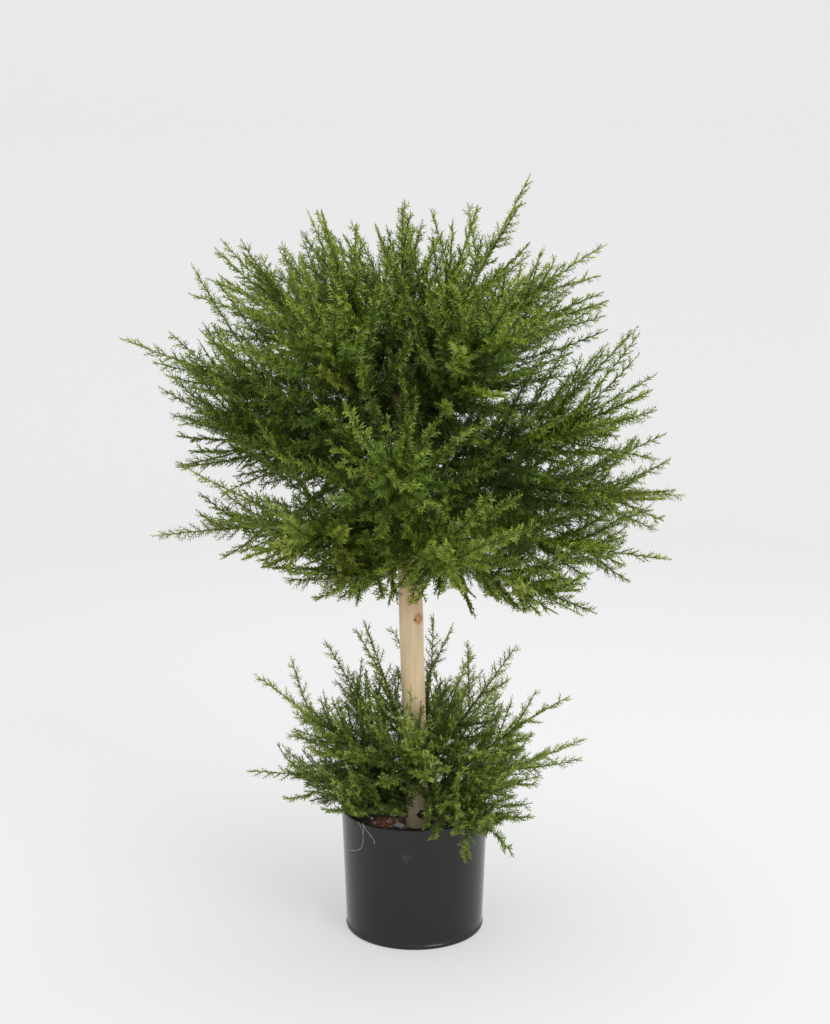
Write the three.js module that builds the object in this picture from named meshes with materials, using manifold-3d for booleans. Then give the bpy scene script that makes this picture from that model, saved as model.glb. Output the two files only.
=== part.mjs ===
// Artificial cypress topiary in a pot: a peeled pole set in a weighted pot, with bare-stemmed
// cypress sprays plugged into it as a wide flattened crown and as a small skirt at its foot.
// Millimetres, +Z up. The origin is the middle of the pot's flat underside.

import * as THREE from "three";
import { mergeVertices } from "three/addons/utils/BufferGeometryUtils.js";
import Module from "manifold-3d";

const wasm = await Module();
wasm.setup();

const TOUCHING_GAP = 0.3;
const FULL_TURN = Math.PI * 2;
const GOLDEN_TURN = Math.PI * (3 - Math.sqrt(5));
const UP = new THREE.Vector3(0, 0, 1);

// Pot: a plain tapered plastic pot with a small rounded foot
const POT_HEIGHT = 151;
const POT_RIM_RADIUS = 88.5;
const POT_FOOT_RADIUS = 83;
const POT_WALL = 2.6;
const POT_FLOOR = 3;
const POT_FOOT_ROUND = 3.4;
const POT_FOOT_ROUND_HEIGHT = 4.8;
const POT_SEGMENTS = 36;

// Fill: a cast disc of weighted filler round the pole, low in the pot
const FILL_BELOW_RIM = 29;
const FILL_MOUND = 4;
const FILL_SHOULDER = 0.6;
const FILL_SHOULDER_RISE = 1.6;

// Pole: peeled stem, slightly tapered and leaning to -X
const POLE_TOP = 662;
const POLE_FOOT_RADIUS = 14.2;
const POLE_TOP_RADIUS = 13.9;
const POLE_SIDES = 12;
const POLE_RINGS = 15;
const POLE_FOOT_X = 7.9;
const POLE_LEAN = -0.0308;
const POLE_WAVER = 0.2;
const POLE_WAVER_PER_MM = 0.013;
const KNOT_HEIGHT = 386;
const KNOT_TURN = THREE.MathUtils.degToRad(-53);
const KNOT_RISE = 1.1;
const KNOT_SPREAD = 16;

// Limbs: the bare stem of each spray, and the thinner stem that runs on inside its mass
const BOUGH_ROOT_RADIUS = 2.7;
const BOUGH_TIP_RADIUS = 2.1;
const BOUGH_SIDES = 5;
const BOUGH_STEPS = 2;
const STEM_ROOT_RADIUS = 1.9;
const STEM_TIP_RADIUS = 1;
const STEM_SIDES = 3;
const STEM_STEPS = 6;
const SPACE_STEPS = 10;

// Sprays: a ridged blade with forward teeth, each tooth a sprig of needles
const SPRAY_RIDGE = 2.4;
const SPRAY_RIB_HALF_WIDTH = 1.7;
const TOOTH_SPACING = 38;
const TOOTH_SHARE = 0.42;
const TOOTH_FORWARD = 0.8;
const TOOTH_TAPER = 0.5;
const RIB_TAPER = 0.45;
const SPRAY_BEND = [6, 18];
const SPRAY_LENGTH_SPREAD = [0.86, 1.14];
const SPRAY_OPENING = [62, 34];
const SPRAY_ZONE = [0.03, 0.98];
const WIDTH_LEAST = 0.42;
const WIDTH_START = 0.12;
const WIDTH_RUN = 0.86;
const WIDTH_FULLNESS = 0.8;
const SHORTEST_SPRAY = 38;
const END_SPRAY_SHARE = 0.29;
const STEM_IN_END_SPRAY = 5;
const SPRAY_TRIES = [1, 0.86, 0.73, 0.61, 0.5, 0.4];
const SPACE_MARGIN = 3;
const POLE_MARGIN = 6;
const POT_MARGIN = 4;

// Tiers of sprays from the top down. Heights are where a spray is plugged into the pole, rise is
// its angle above level in degrees, reach its length from the pole's middle, lift how far its end
// curves up, bare the length of its bare stem, half-width the reach of its side sprays.
const TIERS = [
  { name: "crown_top", count: 1, height: 655, rise: 86, reach: 218, lift: 0, turn: 200,
    bare: 0, halfWidth: 112, sprays: 7, seed: 11 },
  { name: "crown_high", count: 5, height: 634, rise: 56, reach: 258, lift: 12, turn: 14,
    bare: 0, halfWidth: 126, sprays: 8, seed: 23 },
  { name: "crown_upper", count: 6, height: 600, rise: 31, reach: 308, lift: 34, turn: 180,
    bare: 52, halfWidth: 132, sprays: 9, seed: 37 },
  { name: "crown_middle", count: 6, height: 553, rise: 7, reach: 318, lift: 34, turn: 20,
    bare: 56, halfWidth: 132, sprays: 8, seed: 59 },
  { name: "crown_lower", count: 6, height: 506, rise: -10, reach: 316, lift: 14, turn: 170,
    bare: 56, halfWidth: 126, sprays: 8, seed: 71 },
  { name: "crown_under", count: 3, height: 478, rise: -13, reach: 214, lift: -4, turn: -40,
    bare: 0, halfWidth: 100, sprays: 7, seed: 89 },
  { name: "skirt_inner", count: 3, height: 182, rise: 60, reach: 214, lift: 0, turn: 60,
    bare: 0, halfWidth: 88, sprays: 6, seed: 101 },
  { name: "skirt_outer", count: 6, height: 163, rise: 27, reach: 226, lift: 10, turn: -42,
    bare: 0, halfWidth: 94, sprays: 7, seed: 127 },
  { name: "skirt_low", count: 3, height: 152, rise: 18, reach: 152, lift: -10, turn: 225,
    bare: 0, halfWidth: 66, sprays: 5, seed: 149 },
];

// Longer, flatter or drooping sprays that give the outline its character
const LEADERS = {
  crown_high_1: { reach: 311, rise: 59 },
  crown_high_3: { reach: 278, rise: 39 },
  crown_upper_1: { reach: 340, rise: 15, lift: 22 },
  crown_upper_4: { reach: 350, rise: 54, lift: -46 },
  crown_middle_1: { reach: 344, rise: -6, lift: 12, turn: 8, halfWidth: 108 },
  crown_middle_4: { reach: 288, rise: 17, halfWidth: 112 },
  crown_middle_5: { turn: 33 },
  crown_middle_6: { rise: 17, turn: 29 },
  crown_lower_1: { reach: 318, rise: -4, lift: 0, halfWidth: 88 },
  crown_lower_2: { reach: 300, rise: 2, lift: 16 },
  crown_lower_3: { rise: -8, turn: 161 },
  crown_lower_4: { reach: 304, rise: -9, lift: 4 },
  crown_under_1: { reach: 276, rise: -8 },
  crown_under_3: { reach: 200, rise: -9, turn: -2 },
  skirt_inner_1: { reach: 204, turn: 78 },
  skirt_inner_2: { rise: 69 },
  skirt_inner_3: { reach: 228, rise: 54, turn: 80 },
  skirt_outer_1: { reach: 206, rise: 10, lift: -38, turn: -56 },
  skirt_outer_2: { reach: 250, rise: 9 },
  skirt_outer_3: { turn: -52 },
  skirt_outer_4: { reach: 214, rise: 5, turn: -3 },
  skirt_outer_5: { reach: 256, rise: 39, lift: -4 },
  skirt_outer_6: { reach: 200, rise: 40, turn: -36 },
  skirt_low_2: { reach: 230, rise: 46 },
  skirt_low_3: { reach: 250, rise: 50, turn: 269 },
};

const TURN_JITTER = 7;
const RISE_JITTER = 4;
const REACH_JITTER = 0.05;
const SWAY = 16;

// Mulberry32: a seeded row of numbers from 0 to 1
function randomFrom(seed) {
  let state = seed >>> 0;
  return () => {
    state = (state + 0x6d2b79f5) >>> 0;
    let mixed = Math.imul(state ^ (state >>> 15), state | 1);
    mixed ^= mixed + Math.imul(mixed ^ (mixed >>> 7), mixed | 61);
    return ((mixed ^ (mixed >>> 14)) >>> 0) / 4294967296;
  };
}

function geometryOf(points, faces) {
  const geometry = new THREE.BufferGeometry();
  const flat = points.flatMap((point) => point.toArray());
  geometry.setAttribute("position", new THREE.Float32BufferAttribute(flat, 3));
  geometry.setIndex(faces);
  return geometry;
}

function solidOf(geometry) {
  const bare = geometry.clone();
  bare.deleteAttribute("normal");
  bare.deleteAttribute("uv");
  const merged = mergeVertices(bare);
  return new wasm.Manifold(new wasm.Mesh({
    numProp: 3,
    vertProperties: merged.attributes.position.array,
    triVerts: new Uint32Array(merged.index.array),
  }));
}

function geometryOfSolid(solid) {
  const mesh = solid.getMesh();
  const geometry = new THREE.BufferGeometry();
  geometry.setAttribute("position", new THREE.BufferAttribute(mesh.vertProperties, 3));
  geometry.setIndex(new THREE.BufferAttribute(mesh.triVerts, 1));
  return geometry;
}

// A closed loft through rings of equally many points, with a flat fan at each end
function loft(rings) {
  const sides = rings[0].length;
  const faces = [];
  for (let ring = 0; ring + 1 < rings.length; ring += 1) {
    for (let side = 0; side < sides; side += 1) {
      const a = ring * sides + side;
      const b = ring * sides + (side + 1) % sides;
      faces.push(a, b, b + sides, a, b + sides, a + sides);
    }
  }
  const last = (rings.length - 1) * sides;
  for (let side = 1; side + 1 < sides; side += 1) {
    faces.push(0, side + 1, side);
    faces.push(last, last + side, last + side + 1);
  }
  return geometryOf(rings.flat(), faces);
}

// Two directions square to a heading: one level, one as near upright as it can be
function acrossOf(heading) {
  const level = new THREE.Vector3().crossVectors(UP, heading);
  if (level.lengthSq() < 1e-6) {
    level.set(0, 1, 0);
  }
  level.normalize();
  const upright = new THREE.Vector3().crossVectors(heading, level).normalize();
  return { level, upright };
}

// A round limb through path points, tapering from one radius to another
function limb(points, rootRadius, tipRadius, sides) {
  const rings = points.map((point, index) => {
    const before = points[Math.max(index - 1, 0)];
    const after = points[Math.min(index + 1, points.length - 1)];
    const { level, upright } = acrossOf(after.clone().sub(before).normalize());
    const radius = THREE.MathUtils.lerp(rootRadius, tipRadius, index / (points.length - 1));
    return Array.from({ length: sides }, (_, side) => {
      const angle = side / sides * FULL_TURN;
      return point.clone()
        .addScaledVector(level, radius * Math.cos(angle))
        .addScaledVector(upright, radius * Math.sin(angle));
    });
  });
  return loft(rings);
}

// Pole
const POLE_BOTTOM = POT_FLOOR + TOUCHING_GAP;

function poleMiddle(height) {
  const waver = POLE_WAVER * Math.sin(height * POLE_WAVER_PER_MM);
  return new THREE.Vector3(POLE_FOOT_X + POLE_LEAN * height + waver, waver, height);
}

function poleRadius(height, angle) {
  const share = (height - POLE_BOTTOM) / (POLE_TOP - POLE_BOTTOM);
  const turned = Math.atan2(Math.sin(angle - KNOT_TURN), Math.cos(angle - KNOT_TURN));
  const aside = Math.hypot(height - KNOT_HEIGHT, turned * POLE_FOOT_RADIUS) / KNOT_SPREAD;
  const knot = KNOT_RISE * Math.exp(-aside * aside);
  return THREE.MathUtils.lerp(POLE_FOOT_RADIUS, POLE_TOP_RADIUS, share) + knot;
}

function pole(grow = 0) {
  const rings = Array.from({ length: POLE_RINGS }, (_, ring) => {
    const share = ring / (POLE_RINGS - 1);
    const height = THREE.MathUtils.lerp(POLE_BOTTOM - grow, POLE_TOP + grow, share);
    const middle = poleMiddle(height);
    return Array.from({ length: POLE_SIDES }, (_, side) => {
      const angle = side / POLE_SIDES * FULL_TURN;
      const radius = poleRadius(height, angle) + grow / Math.cos(Math.PI / POLE_SIDES);
      return middle.clone().add(
        new THREE.Vector3(radius * Math.cos(angle), radius * Math.sin(angle), 0),
      );
    });
  });
  return loft(rings);
}

const poleClearance = solidOf(pole(TOUCHING_GAP));

// Pot and fill
function potInnerRadius(height) {
  const share = height / POT_HEIGHT;
  return THREE.MathUtils.lerp(POT_FOOT_RADIUS, POT_RIM_RADIUS, share) - POT_WALL;
}

function pot() {
  const profile = [
    new THREE.Vector2(0, 0),
    new THREE.Vector2(POT_FOOT_RADIUS - POT_FOOT_ROUND, 0),
    new THREE.Vector2(POT_FOOT_RADIUS, POT_FOOT_ROUND_HEIGHT),
    new THREE.Vector2(POT_RIM_RADIUS, POT_HEIGHT),
    new THREE.Vector2(POT_RIM_RADIUS - POT_WALL, POT_HEIGHT),
    new THREE.Vector2(potInnerRadius(POT_FLOOR), POT_FLOOR),
    new THREE.Vector2(0, POT_FLOOR),
  ];
  return new THREE.LatheGeometry(profile, POT_SEGMENTS).rotateX(Math.PI / 2);
}

function fill() {
  const bottom = POT_FLOOR + TOUCHING_GAP;
  const top = POT_HEIGHT - FILL_BELOW_RIM;
  const profile = [
    new THREE.Vector2(0, bottom),
    new THREE.Vector2(potInnerRadius(bottom) - TOUCHING_GAP, bottom),
    new THREE.Vector2(potInnerRadius(top) - TOUCHING_GAP, top),
    new THREE.Vector2(potInnerRadius(top) * FILL_SHOULDER, top + FILL_SHOULDER_RISE),
    new THREE.Vector2(0, top + FILL_MOUND),
  ];
  const cast = new THREE.LatheGeometry(profile, POT_SEGMENTS).rotateX(Math.PI / 2);
  return geometryOfSolid(solidOf(cast).subtract(poleClearance));
}

// Where each spray runs: its path starts in the middle of the pole and bends up and aside
function sprayCourses() {
  const courses = [];
  for (const tier of TIERS) {
    for (let index = 0; index < tier.count; index += 1) {
      const name = `${tier.name}_${index + 1}`;
      const random = randomFrom(tier.seed * 131 + index);
      const plan = { ...tier, ...LEADERS[name] };
      const turn = plan.turn + 360 / plan.count * index + TURN_JITTER * (2 * random() - 1);
      const rise = plan.rise + RISE_JITTER * (2 * random() - 1);
      const reach = plan.reach * (1 + REACH_JITTER * (2 * random() - 1));
      const sway = SWAY * (2 * random() - 1);
      courses.push({ ...plan, name, random, turn, rise, reach, sway });
    }
  }
  return courses;
}

function coursePoint(course, along) {
  const turn = THREE.MathUtils.degToRad(course.turn);
  const rise = THREE.MathUtils.degToRad(course.rise);
  const outward = new THREE.Vector3(Math.cos(turn), Math.sin(turn), 0);
  const aside = new THREE.Vector3(-Math.sin(turn), Math.cos(turn), 0);
  const share = along / course.reach;
  return poleMiddle(course.height)
    .addScaledVector(outward, along * Math.cos(rise))
    .addScaledVector(UP, along * Math.sin(rise) + course.lift * share * share)
    .addScaledVector(aside, course.sway * share * share);
}

function pathBetween(course, from, to, steps) {
  return Array.from({ length: steps + 1 }, (_, step) => (
    coursePoint(course, THREE.MathUtils.lerp(from, to, step / steps))
  ));
}

function distanceToPath(point, path) {
  let nearest = Infinity;
  const line = new THREE.Line3();
  const foot = new THREE.Vector3();
  for (let index = 0; index + 1 < path.length; index += 1) {
    line.set(path[index], path[index + 1]);
    line.closestPointToPoint(point, true, foot);
    nearest = Math.min(nearest, foot.distanceTo(point));
  }
  return nearest;
}

// A mass keeps to the space that lies nearer to its own limb than to any other, clear of the pole
// and the pot
function isInOwnSpace(point, course, courses) {
  const own = distanceToPath(point, course.path);
  const middle = poleMiddle(Math.min(point.z, POLE_TOP));
  if (point.distanceTo(middle) < POLE_FOOT_RADIUS + POLE_MARGIN) {
    return false;
  }
  const besidePot = Math.hypot(point.x, point.y) < POT_RIM_RADIUS + POT_MARGIN;
  if (besidePot && point.z < POT_HEIGHT + POT_MARGIN) {
    return false;
  }
  return courses.every((other) => (
    other === course || distanceToPath(point, other.path) - own >= SPACE_MARGIN
  ));
}

// Corners of a spray: a rib of stations with a notch on each side, and a tooth between stations
function sprayCorners(start, heading, roll, length, bend) {
  const { level, upright } = acrossOf(heading);
  const side = level.clone().multiplyScalar(Math.cos(roll)).addScaledVector(upright, Math.sin(roll));
  const ridge = new THREE.Vector3().crossVectors(heading, side).normalize();
  const teeth = Math.max(2, Math.round(length / TOOTH_SPACING) - 1);
  const stations = Array.from({ length: teeth + 3 }, (_, index) => {
    const share = index / (teeth + 2);
    return start.clone()
      .addScaledVector(heading, length * share)
      .addScaledVector(UP, bend * share * share);
  });
  const tips = [];
  for (let index = 1; index <= teeth; index += 1) {
    const tooth = length * TOOTH_SHARE * (1 - TOOTH_TAPER * (index - 1) / teeth);
    const middle = stations[index].clone().lerp(stations[index + 1], 0.5)
      .addScaledVector(heading, tooth * TOOTH_FORWARD);
    tips.push([
      middle.clone().addScaledVector(side, tooth),
      middle.clone().addScaledVector(side, -tooth),
    ]);
  }
  return { stations, tips, side, ridge };
}

// One closed ridged blade: a ridge on top, a flat underside, teeth out of both edges
function sprayGeometry(corners) {
  const { stations, tips, side, ridge } = corners;
  const last = stations.length - 1;
  const points = [];
  const stationFaces = [];
  for (let index = 0; index < last; index += 1) {
    const slim = 1 - RIB_TAPER * index / last;
    stationFaces.push(points.length);
    points.push(
      stations[index].clone().addScaledVector(ridge, SPRAY_RIDGE * slim),
      stations[index].clone().addScaledVector(side, SPRAY_RIB_HALF_WIDTH * slim),
      stations[index].clone().addScaledVector(side, -SPRAY_RIB_HALF_WIDTH * slim),
    );
  }
  const end = points.push(stations[last].clone()) - 1;
  const faces = [];
  const quad = (a, b, c, d) => faces.push(a, b, c, a, c, d);
  faces.push(0, 1, 2);
  quad(0, 3, 4, 1);
  quad(0, 2, 5, 3);
  quad(1, 4, 5, 2);
  for (let index = 1; index + 1 < last; index += 1) {
    const [top, left, right] = [0, 1, 2].map((corner) => stationFaces[index] + corner);
    const [topNext, leftNext, rightNext] = [top + 3, left + 3, right + 3];
    const leftTip = points.push(tips[index - 1][0]) - 1;
    const rightTip = points.push(tips[index - 1][1]) - 1;
    faces.push(top, leftTip, left);
    faces.push(top, leftNext, leftTip);
    faces.push(top, topNext, leftNext);
    faces.push(top, right, rightTip);
    faces.push(top, rightTip, rightNext);
    faces.push(top, rightNext, topNext);
    faces.push(left, leftTip, leftNext);
    faces.push(right, rightNext, rightTip);
    quad(left, leftNext, rightNext, right);
  }
  const [top, left, right] = [0, 1, 2].map((corner) => stationFaces[last - 1] + corner);
  faces.push(top, end, left);
  faces.push(top, right, end);
  faces.push(left, end, right);
  return geometryOf(points, faces);
}

// How far side sprays reach along a mass: short by the pole and at the end, longest past the middle
function widthAlong(share) {
  const swell = Math.sin(Math.PI * (WIDTH_START + share * WIDTH_RUN)) ** WIDTH_FULLNESS;
  return THREE.MathUtils.lerp(WIDTH_LEAST, 1, swell);
}

function between([low, high], share) {
  return THREE.MathUtils.lerp(low, high, share);
}

// Side sprays stand round the stem by the golden angle and lean forward more towards its end
function sideSprays(course, from, to) {
  const { random, sprays } = course;
  const firstTurn = FULL_TURN * random();
  return Array.from({ length: sprays }, (_, index) => {
    const share = (index + 0.5) / sprays;
    const along = THREE.MathUtils.lerp(from, to, between(SPRAY_ZONE, share));
    const start = coursePoint(course, along);
    const forward = coursePoint(course, along + 1).sub(start).normalize();
    const { level, upright } = acrossOf(forward);
    const around = firstTurn + GOLDEN_TURN * index;
    const open = THREE.MathUtils.degToRad(between(SPRAY_OPENING, share));
    const heading = forward.clone().multiplyScalar(Math.cos(open))
      .addScaledVector(level, Math.sin(open) * Math.cos(around))
      .addScaledVector(upright, Math.sin(open) * Math.sin(around));
    const spread = between(SPRAY_LENGTH_SPREAD, random());
    const length = course.halfWidth * widthAlong(share) * spread;
    const roll = Math.PI * random();
    return { start, heading, length, roll, bend: between(SPRAY_BEND, random()) };
  });
}

function massSolid(course, courses) {
  const from = course.bare > 0 ? course.bare + TOUCHING_GAP : 0;
  const endSpray = course.reach * END_SPRAY_SHARE;
  const stemEnd = course.reach - endSpray + STEM_IN_END_SPRAY;
  const stem = pathBetween(course, from, stemEnd, STEM_STEPS);
  let solid = solidOf(limb(stem, STEM_ROOT_RADIUS, STEM_TIP_RADIUS, STEM_SIDES));
  const sprays = sideSprays(course, from, stemEnd);
  const start = coursePoint(course, course.reach - endSpray);
  const heading = coursePoint(course, course.reach).sub(start).normalize();
  sprays.push({ start, heading, length: endSpray, roll: Math.PI * course.random(), bend: 0 });
  for (const spray of sprays) {
    for (const portion of SPRAY_TRIES) {
      const length = spray.length * portion;
      if (length < SHORTEST_SPRAY) {
        break;
      }
      const corners = sprayCorners(spray.start, spray.heading, spray.roll, length, spray.bend);
      const outer = [...corners.tips.flat(), ...corners.stations.slice(1)];
      if (outer.every((point) => isInOwnSpace(point, course, courses))) {
        solid = solid.add(solidOf(sprayGeometry(corners)));
        break;
      }
    }
  }
  return course.bare > 0 ? solid : solid.subtract(poleClearance);
}

function boughSolid(course) {
  const path = pathBetween(course, 0, course.bare, BOUGH_STEPS);
  const whole = solidOf(limb(path, BOUGH_ROOT_RADIUS, BOUGH_TIP_RADIUS, BOUGH_SIDES));
  return whole.subtract(poleClearance);
}

// Finishes
const potPlastic = new THREE.MeshStandardMaterial({ color: 0x2b2b2a, roughness: 0.42 });
const castFill = new THREE.MeshStandardMaterial({ color: 0x6b4130, roughness: 0.9 });
const peeledWood = new THREE.MeshStandardMaterial({ color: 0xc4a583, roughness: 0.7 });
const stemPlastic = new THREE.MeshStandardMaterial({ color: 0x2c3319, roughness: 0.6 });
const crownGreen = new THREE.MeshStandardMaterial({ color: 0x3f6423, roughness: 0.55 });
const skirtGreen = new THREE.MeshStandardMaterial({ color: 0x47702a, roughness: 0.55 });

const tree = new THREE.Group();

function place(name, geometry, material) {
  const mesh = new THREE.Mesh(geometry, material);
  mesh.name = name;
  tree.add(mesh);
}

place("pot", pot(), potPlastic);
place("fill", fill(), castFill);
place("trunk", pole(), peeledWood);

const courses = sprayCourses();
for (const course of courses) {
  course.path = pathBetween(course, 0, course.reach, SPACE_STEPS);
}
for (const course of courses) {
  if (course.bare > 0) {
    place(`${course.name}_bough`, geometryOfSolid(boughSolid(course)), stemPlastic);
  }
  const green = course.name.startsWith("skirt") ? skirtGreen : crownGreen;
  place(`${course.name}_mass`, geometryOfSolid(massSolid(course, courses)), green);
}

export default tree;
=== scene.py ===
"""Artificial cypress topiary in a pot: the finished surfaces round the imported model.

Metres, +Z up, with the origin in the middle of the pot's flat underside. The sprays grow by the
rule that the model's own solids follow, written again here and carried on to sprigs and needles.
"""

import math
from dataclasses import dataclass, fields, replace

import bmesh
import bpy
import numpy as np
from mathutils import Matrix, Vector, noise


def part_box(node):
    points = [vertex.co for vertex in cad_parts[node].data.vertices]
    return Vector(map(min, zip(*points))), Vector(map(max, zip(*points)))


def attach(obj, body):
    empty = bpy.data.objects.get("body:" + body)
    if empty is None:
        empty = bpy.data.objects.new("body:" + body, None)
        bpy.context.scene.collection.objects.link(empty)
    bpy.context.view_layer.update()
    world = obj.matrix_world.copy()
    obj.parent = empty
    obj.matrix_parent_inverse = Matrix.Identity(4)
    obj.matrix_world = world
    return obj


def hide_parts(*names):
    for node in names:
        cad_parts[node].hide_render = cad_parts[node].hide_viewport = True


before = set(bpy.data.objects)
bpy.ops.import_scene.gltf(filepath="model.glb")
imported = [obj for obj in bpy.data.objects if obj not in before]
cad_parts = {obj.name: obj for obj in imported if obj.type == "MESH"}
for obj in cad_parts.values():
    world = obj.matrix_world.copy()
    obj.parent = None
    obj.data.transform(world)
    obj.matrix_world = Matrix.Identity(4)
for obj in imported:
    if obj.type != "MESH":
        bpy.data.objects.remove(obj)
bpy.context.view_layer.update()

UP = np.array((0.0, 0.0, 1.0))
FULL_TURN = 2 * math.pi
GOLDEN_TURN = math.pi * (3 - math.sqrt(5))

# Pot and fill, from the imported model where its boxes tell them
POT_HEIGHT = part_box("pot")[1].z
RIM_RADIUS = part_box("pot")[1].x
FOOT_RADIUS = 0.083
POT_WALL = 0.0026
POT_FLOOR = 0.003
FOOT_ROUND = 0.0032
FOOT_RING = 0.0009
FOOT_RING_HEIGHT = 0.0041
FOOT_RING_ROUND = 0.002
UNDERSIDE_RING = 0.066
UNDERSIDE_RECESS = 0.0012
POT_STEPS = 144
POT_WAVER = 0.00016
FILL_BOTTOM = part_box("fill")[0].z
FILL_TOP = 0.122
FILL_MOUND = 0.004
FILL_LUMP = 0.0013
FILL_GRAIN = 0.0005

# Pole, as in the model's source, and the relief that its peeled surface adds
POLE_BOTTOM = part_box("trunk")[0].z
POLE_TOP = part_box("trunk")[1].z
POLE_FOOT_RADIUS = 0.0142
POLE_TOP_RADIUS = 0.0139
POLE_FOOT_X = 0.0079
POLE_LEAN = -0.0308
POLE_WAVER = 0.0002
POLE_WAVER_PER_M = 13
POLE_SIDES = 72
POLE_RINGS = 260
KNOT_HEIGHT = 0.386
KNOT_TURN = math.radians(-53)
KNOT_RISE = 0.0011
KNOT_SPREAD = 0.016
KNOT_HEART = 0.0042
TORN_PLACES = ((0.4246, math.radians(-129)), (0.4252, math.radians(-117)),
               (0.4272, math.radians(-106)), (0.4278, math.radians(-96)))
TORN_SIZE = 0.0024
TORN_DEPTH = 0.0007
RIDGE_HEIGHT = 0.00042
FIBRE_HEIGHT = 0.00016
NICK_DEPTH = 0.0007
NICK_LIMIT = 0.52
KNOT_LIP = 0.0006
KNOT_DEPTH = 0.0007

# Growth, as in the model's source, in metres
SPACE_STEPS = 10
TOOTH_SPACING = 0.038
TOOTH_SHARE = 0.42
TOOTH_FORWARD = 0.8
TOOTH_TAPER = 0.5
SPRAY_BEND = (0.006, 0.018)
SPRAY_LENGTH_SPREAD = (0.86, 1.14)
SPRAY_OPENING = (62, 34)
SPRAY_ZONE = (0.03, 0.98)
WIDTH_LEAST = 0.42
WIDTH_START = 0.12
WIDTH_RUN = 0.86
WIDTH_FULLNESS = 0.8
SHORTEST_SPRAY = 0.038
END_SPRAY_SHARE = 0.29
STEM_IN_END_SPRAY = 0.005
SPRAY_TRIES = (1, 0.86, 0.73, 0.61, 0.5, 0.4)
SPACE_MARGIN = 0.003
POLE_MARGIN = 0.006
POT_MARGIN = 0.004
TOUCHING_GAP = 0.0003
BOUGH_START = 0.011
BOUGH_OVERLAP = 0.004
TURN_JITTER = 7
RISE_JITTER = 4
REACH_JITTER = 0.05
SWAY = 0.016

TIER_TERMS = ("name", "count", "height", "rise", "reach", "lift", "turn", "bare", "half_width",
              "sprays", "seed")
TIERS = [dict(zip(TIER_TERMS, terms)) for terms in (
    ("crown_top", 1, 0.655, 86, 0.218, 0, 200, 0, 0.112, 7, 11),
    ("crown_high", 5, 0.634, 56, 0.258, 0.012, 14, 0, 0.126, 8, 23),
    ("crown_upper", 6, 0.600, 31, 0.308, 0.034, 180, 0.052, 0.132, 9, 37),
    ("crown_middle", 6, 0.553, 7, 0.318, 0.034, 20, 0.056, 0.132, 8, 59),
    ("crown_lower", 6, 0.506, -10, 0.316, 0.014, 170, 0.056, 0.126, 8, 71),
    ("crown_under", 3, 0.478, -13, 0.214, -0.004, -40, 0, 0.100, 7, 89),
    ("skirt_inner", 3, 0.182, 60, 0.214, 0, 60, 0, 0.088, 6, 101),
    ("skirt_outer", 6, 0.163, 27, 0.226, 0.010, -42, 0, 0.094, 7, 127),
    ("skirt_low", 3, 0.152, 18, 0.152, -0.010, 225, 0, 0.066, 5, 149),
)]
LEADERS = {
    "crown_high_1": dict(reach=0.311, rise=59),
    "crown_high_3": dict(reach=0.278, rise=39),
    "crown_upper_1": dict(reach=0.340, rise=15, lift=0.022),
    "crown_upper_4": dict(reach=0.350, rise=54, lift=-0.046),
    "crown_middle_1": dict(reach=0.344, rise=-6, lift=0.012, turn=8, half_width=0.108),
    "crown_middle_4": dict(reach=0.288, rise=17, half_width=0.112),
    "crown_middle_5": dict(turn=33),
    "crown_middle_6": dict(rise=17, turn=29),
    "crown_lower_1": dict(reach=0.318, rise=-4, lift=0, half_width=0.088),
    "crown_lower_2": dict(reach=0.300, rise=2, lift=0.016),
    "crown_lower_3": dict(rise=-8, turn=161),
    "crown_lower_4": dict(reach=0.304, rise=-9, lift=0.004),
    "crown_under_1": dict(reach=0.276, rise=-8),
    "crown_under_3": dict(reach=0.200, rise=-9, turn=-2),
    "skirt_inner_1": dict(reach=0.204, turn=78),
    "skirt_inner_2": dict(rise=69),
    "skirt_inner_3": dict(reach=0.228, rise=54, turn=80),
    "skirt_outer_1": dict(reach=0.206, rise=10, lift=-0.038, turn=-56),
    "skirt_outer_2": dict(reach=0.250, rise=9),
    "skirt_outer_3": dict(turn=-52),
    "skirt_outer_4": dict(reach=0.214, rise=5, turn=-3),
    "skirt_outer_5": dict(reach=0.256, rise=39, lift=-0.004),
    "skirt_outer_6": dict(reach=0.200, rise=40, turn=-36),
    "skirt_low_2": dict(reach=0.230, rise=46),
    "skirt_low_3": dict(reach=0.250, rise=50, turn=269),
}

# Finer growth: twigs between the source's sprays, sprigs on twigs, and needles on all of them
FINE_SEED = 4817
FINER_TWIGS = dict(crown=5.0, skirt=5.4)
FULLER = {"skirt_outer_1": 2.1, "skirt_outer_5": 1.5, "crown_middle_5": 1.3,
          "crown_lower_1": 0.8, "crown_lower_3": 1.3, "crown_under_1": 0.8,
          "crown_under_3": 1.4}
FINER_START = 0.022
FINER_LENGTH = 1.4
FINER_OPENING = (56, 20)
FINER_TRIES = (1, 0.9, 0.8, 0.7, 0.6, 0.5, 0.4, 0.32, 0.25)
SHORTEST_FINER_TWIG = 0.028
FINER_MARGIN = -0.030
RIB_STATIONS = 6
LEADER_SHARE = 0.46
TWIG_CURL = 0.16
SPRIG_SPACING = 0.0052
SPRIG_ZONE = (0.05, 0.93)
SPRIG_SHARE = 0.26
SPRIG_LONGEST = 0.022
SPRIG_TAPER = 0.66
SPRIG_SHORTEST = 0.0065
SPRIG_LEAST_SHARE = 0.8
SPRIG_OPENING = (50, 36)
SPRIG_FAN = 0.6
SPRIG_CURL = 0.10
SPRIG_PLACE_SPREAD = (0.2, 0.8)
SPRIG_LENGTH_SPREAD = (0.75, 1.15)
SPRIG_OPENING_SPREAD = 5
SPRIG_TONE_SPREAD = 0.3
SPRIGLET_SPACING = 0.0075
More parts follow.
